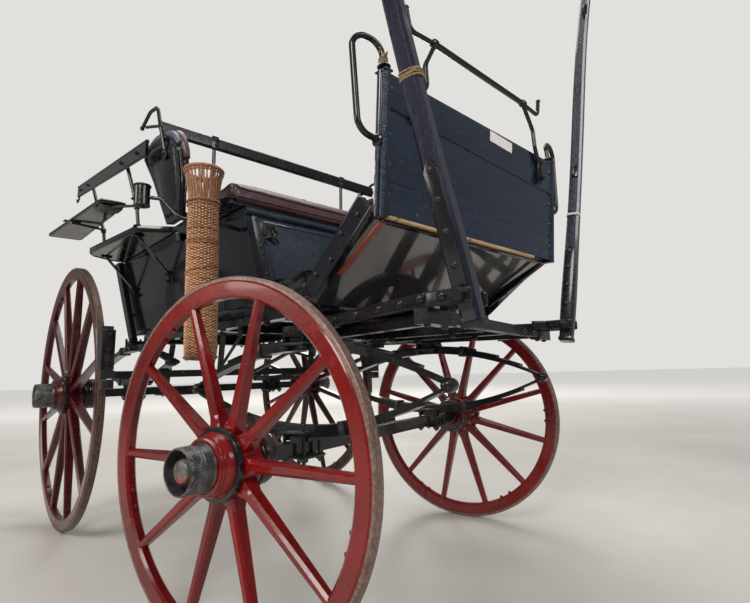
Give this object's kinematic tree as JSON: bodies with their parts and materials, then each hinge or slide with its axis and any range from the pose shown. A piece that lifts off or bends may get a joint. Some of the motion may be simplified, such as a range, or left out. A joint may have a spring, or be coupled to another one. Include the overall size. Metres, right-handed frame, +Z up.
{
  "type": "horse drawn wagonette carriage",
  "caption": "Light horse drawn carriage with red spoked wheels, a cross driver seat, lengthwise rear benches, a turning forecarriage and shafts folded upright.",
  "frame": {"origin": "on the floor, under the middle of the whole carriage", "axes": "+X to the left of the carriage, -Y to its front, +Z up"},
  "size_m": [1.64, 2.7818, 2.8169],
  "materials": {
    "wheel_red_paint": "gloss",
    "tyre_iron": "worn",
    "cap_iron": "satin",
    "shaft_paint": "gloss paint",
    "black_iron": "gloss",
    "body_paint": "gloss paint",
    "dash_paint": "gloss paint",
    "brake_wood": "worn",
    "cushion_leather": "satin",
    "wicker": "varnish"
  },
  "bodies": {
    "carriage_body": {"bench_back_rails": "body_paint", "bench_stays": "black_iron", "body_floor": "body_paint", "body_sills": "body_paint", "brake_beam": "black_iron", "brake_blocks": "brake_wood", "dash_handles": "black_iron", "dash_posts": "dash_paint", "dashboard": "dash_paint", "driver_cushion": "cushion_leather", "driver_seat_board": "body_paint", "lamp_sockets": "black_iron", "left_side_panel": "body_paint", "rail_irons": "black_iron", "rear_axle": "black_iron", "rear_benches": "body_paint", "rear_corner_posts": "body_paint", "rear_mudguards": "body_paint", "rear_spring_bar": "black_iron", "rear_springs": "black_iron", "rear_step": "black_iron", "rein_rail": "black_iron", "right_side_panel": "body_paint", "seat_back_rail": "black_iron", "seat_box_back": "body_paint", "seat_box_front": "body_paint", "seat_end_pads": "cushion_leather", "seat_ends": "body_paint", "seat_grab_loops": "black_iron", "toe_board": "body_paint", "toe_board_sides": "body_paint", "umbrella_basket": "wicker", "upper_turntable_ring": "black_iron"},
    "forecarriage": {"forecarriage_frame": "black_iron", "lower_turntable_ring": "black_iron", "kingpin": "black_iron", "front_axle": "black_iron", "front_springs": "black_iron"},
    "front_right_wheel_body": {"front_right_hub_cap": "cap_iron", "front_right_tyre": "tyre_iron", "front_right_wheel": "wheel_red_paint"},
    "front_left_wheel_body": {"front_left_hub_cap": "cap_iron", "front_left_tyre": "tyre_iron", "front_left_wheel": "wheel_red_paint"},
    "rear_right_wheel_body": {"rear_right_hub_cap": "cap_iron", "rear_right_tyre": "tyre_iron", "rear_right_wheel": "wheel_red_paint"},
    "rear_left_wheel_body": {"rear_left_hub_cap": "cap_iron", "rear_left_tyre": "tyre_iron", "rear_left_wheel": "wheel_red_paint"},
    "right_shaft_body": {"right_shaft": "shaft_paint", "right_shaft_iron": "black_iron"},
    "left_shaft_body": {"left_shaft": "shaft_paint", "left_shaft_iron": "black_iron"},
    "rear_door_body": {"rear_door": "body_paint"}
  },
  "joints": [
    {"name": "steering", "type": "hinge", "parent": "carriage_body", "child": "forecarriage", "pos_m": [0, -0.594, 0.8], "axis": [0, 0, 1], "range_deg": [-42.9, 17.1]},
    {"name": "front_right_wheel_turn", "type": "hinge", "parent": "forecarriage", "child": "front_right_wheel_body", "pos_m": [-0.65894, -0.74492, 0.45], "axis": [0.9748, 0.2233, 0], "continuous": true},
    {"name": "front_left_wheel_turn", "type": "hinge", "parent": "forecarriage", "child": "front_left_wheel_body", "pos_m": [0.65894, -0.44308, 0.45], "axis": [0.9748, 0.2233, 0], "continuous": true},
    {"name": "rear_right_wheel_turn", "type": "hinge", "parent": "carriage_body", "child": "rear_right_wheel_body", "pos_m": [-0.692, 0.796, 0.595], "axis": [1, 0, 0], "continuous": true},
    {"name": "rear_left_wheel_turn", "type": "hinge", "parent": "carriage_body", "child": "rear_left_wheel_body", "pos_m": [0.692, 0.796, 0.595], "axis": [1, 0, 0], "continuous": true},
    {"name": "right_shaft_fold", "type": "hinge", "parent": "forecarriage", "child": "right_shaft_body", "pos_m": [-0.33312, -1.24479, 0.81], "axis": [0.9748, 0.2233, 0], "range_deg": [0, 115.9]},
    {"name": "left_shaft_fold", "type": "hinge", "parent": "forecarriage", "child": "left_shaft_body", "pos_m": [0.58316, -1.03494, 0.81], "axis": [0.9748, 0.2233, 0], "range_deg": [-13, 102.9]},
    {"name": "rear_door_hinge", "type": "hinge", "parent": "carriage_body", "child": "rear_door_body", "pos_m": [0.384, 0.97, 1.08], "axis": [0, 0, -1], "range_deg": [0, 110]}
  ]
}
